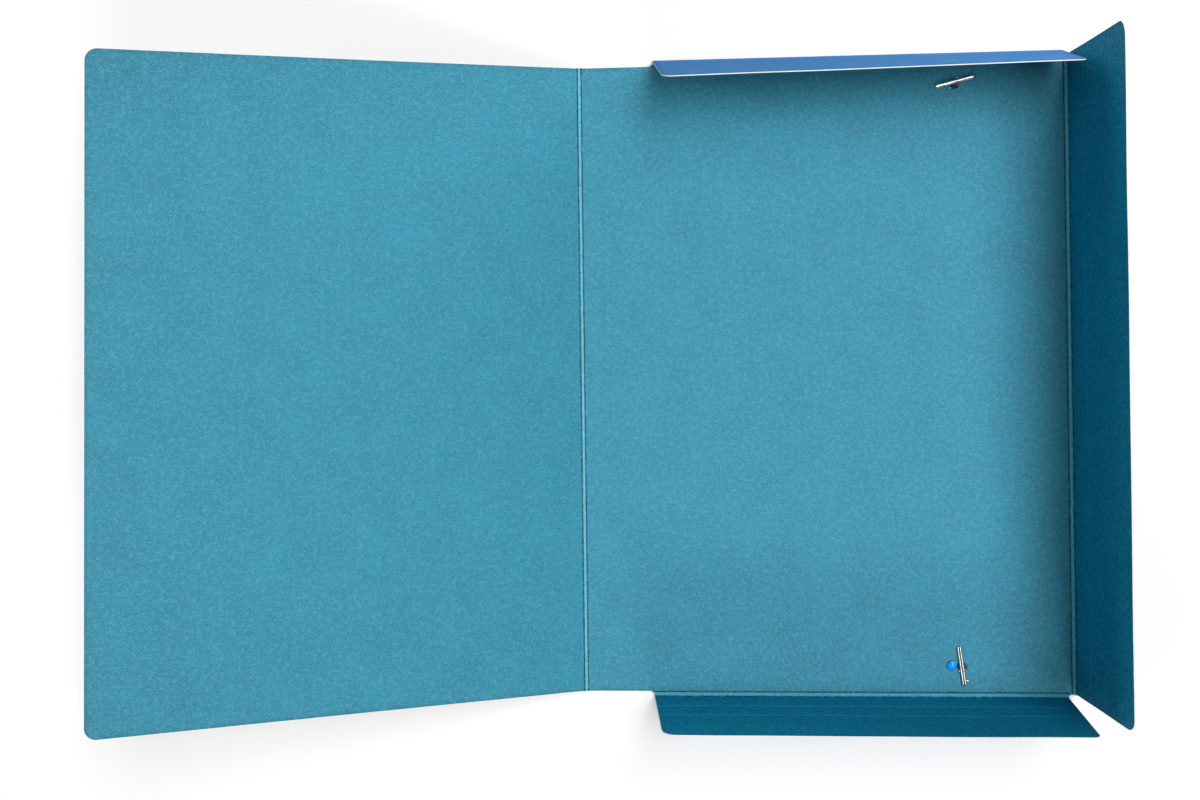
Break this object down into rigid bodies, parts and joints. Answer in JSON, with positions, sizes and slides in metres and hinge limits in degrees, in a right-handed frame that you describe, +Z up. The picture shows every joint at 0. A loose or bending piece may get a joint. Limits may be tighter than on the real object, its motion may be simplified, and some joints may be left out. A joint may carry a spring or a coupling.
{
  "type": "file folder",
  "caption": "Open elastic folder for A4 sheets: creased card covers, fold-in flaps at top, bottom and fore edge, an outside elastic held by metal T-bars in corner holes.",
  "frame": {"origin": "centre of the open folder's footprint, on the surface that it lies on", "axes": "+Z up, out of the back cover's inner face; +X from the spine towards the fore-edge flap, square to the spine; +Y along the spine towards the top flap"},
  "size_m": [0.4732, 0.3278, 0.1185],
  "materials": {
    "board": "pressed card, 0.6 mm: teal fibrous paper inside, smooth cobalt blue outside, white core at the cut edges",
    "elastic": "braided flat elastic, blue",
    "steel": "bright folded sheet steel",
    "bead": "glossy bright blue"
  },
  "bodies": {
    "back_cover": {"back_cover": "board", "elastic_cord": "elastic"},
    "spine_strip": {"spine_crease_strip": "board"},
    "front_cover": {"front_cover": "board"},
    "top_crease_strip": {"top_crease_strip": "board"},
    "top_flap_base": {"top_flap_base": "board"},
    "top_flap_middle": {"top_flap_middle": "board"},
    "top_flap_lip": {"top_flap_lip": "board"},
    "bottom_crease_strip": {"bottom_crease_strip": "board"},
    "bottom_flap_base": {"bottom_flap_base": "board"},
    "bottom_flap_middle": {"bottom_flap_middle": "board"},
    "bottom_flap_lip": {"bottom_flap_lip": "board"},
    "side_crease_strip": {"side_crease_strip": "board"},
    "side_flap": {"side_flap": "board"},
    "upper_tbar": {"upper_tbar_sleeve": "steel", "upper_tbar_cord_end": "elastic"},
    "lower_tbar": {"lower_tbar_sleeve": "steel", "lower_tbar_cord_end": "elastic", "cord_end_bead": "bead"}
  },
  "joints": [
    {"name": "spine_back_score", "type": "hinge", "parent": "back_cover", "child": "spine_strip", "pos_m": [-0.01537, 0.00154, 0.0016], "axis": [0, 1, 0], "range_deg": [-14, 74]},
    {"name": "spine_front_score", "type": "hinge", "parent": "spine_strip", "child": "front_cover", "pos_m": [-0.01731, 0.00154, 0.00208], "axis": [0, 1, 0], "range_deg": [-14, 74]},
    {"name": "top_crease_inner_score", "type": "hinge", "parent": "back_cover", "child": "top_crease_strip", "pos_m": [0.12363, 0.16154, 0.0016], "axis": [1, 0, 0], "range_deg": [-51.75, 38.25]},
    {"name": "top_crease_outer_score", "type": "hinge", "parent": "top_crease_strip", "child": "top_flap_base", "pos_m": [0.12363, 0.16339, 0.00396], "axis": [1, 0, 0], "range_deg": [-51.75, 38.25]},
    {"name": "top_capacity_score_1", "type": "hinge", "parent": "top_flap_base", "child": "top_flap_middle", "pos_m": [0.12363, 0.15861, 0.02389], "axis": [-1, 0, 0], "range_deg": [-90, 0]},
    {"name": "top_capacity_score_2", "type": "hinge", "parent": "top_flap_middle", "child": "top_flap_lip", "pos_m": [0.12363, 0.15417, 0.04236], "axis": [-1, 0, 0], "range_deg": [-90, 0]},
    {"name": "bottom_crease_inner_score", "type": "hinge", "parent": "back_cover", "child": "bottom_crease_strip", "pos_m": [0.12363, -0.15846, 0.0016], "axis": [-1, 0, 0], "range_deg": [-44, 46]},
    {"name": "bottom_crease_outer_score", "type": "hinge", "parent": "bottom_crease_strip", "child": "bottom_flap_base", "pos_m": [0.12363, -0.16062, 0.00368], "axis": [-1, 0, 0], "range_deg": [-44, 46]},
    {"name": "bottom_capacity_score_1", "type": "hinge", "parent": "bottom_flap_base", "child": "bottom_flap_middle", "pos_m": [0.12363, -0.16134, 0.02417], "axis": [1, 0, 0], "range_deg": [-90, 0]},
    {"name": "bottom_capacity_score_2", "type": "hinge", "parent": "bottom_flap_middle", "child": "bottom_flap_lip", "pos_m": [0.12363, -0.162, 0.04316], "axis": [1, 0, 0], "range_deg": [-90, 0]},
    {"name": "side_crease_inner_score", "type": "hinge", "parent": "back_cover", "child": "side_crease_strip", "pos_m": [0.22813, 0.00154, 0.0016], "axis": [0, 1, 0], "range_deg": [-5, 43.5]},
    {"name": "side_crease_outer_score", "type": "hinge", "parent": "side_crease_strip", "child": "side_flap", "pos_m": [0.23031, 0.00154, 0.00366], "axis": [0, 1, 0], "range_deg": [-5, 43.5]},
    {"name": "upper_tbar_swivel", "type": "hinge", "parent": "back_cover", "child": "upper_tbar", "pos_m": [0.17363, 0.14884, 0.0016], "axis": [0, 0, 1], "range_deg": [-90, 90]},
    {"name": "lower_tbar_swivel", "type": "hinge", "parent": "back_cover", "child": "lower_tbar", "pos_m": [0.17363, -0.14576, 0.0016], "axis": [0, 0, 1], "range_deg": [-90, 90]}
  ]
}
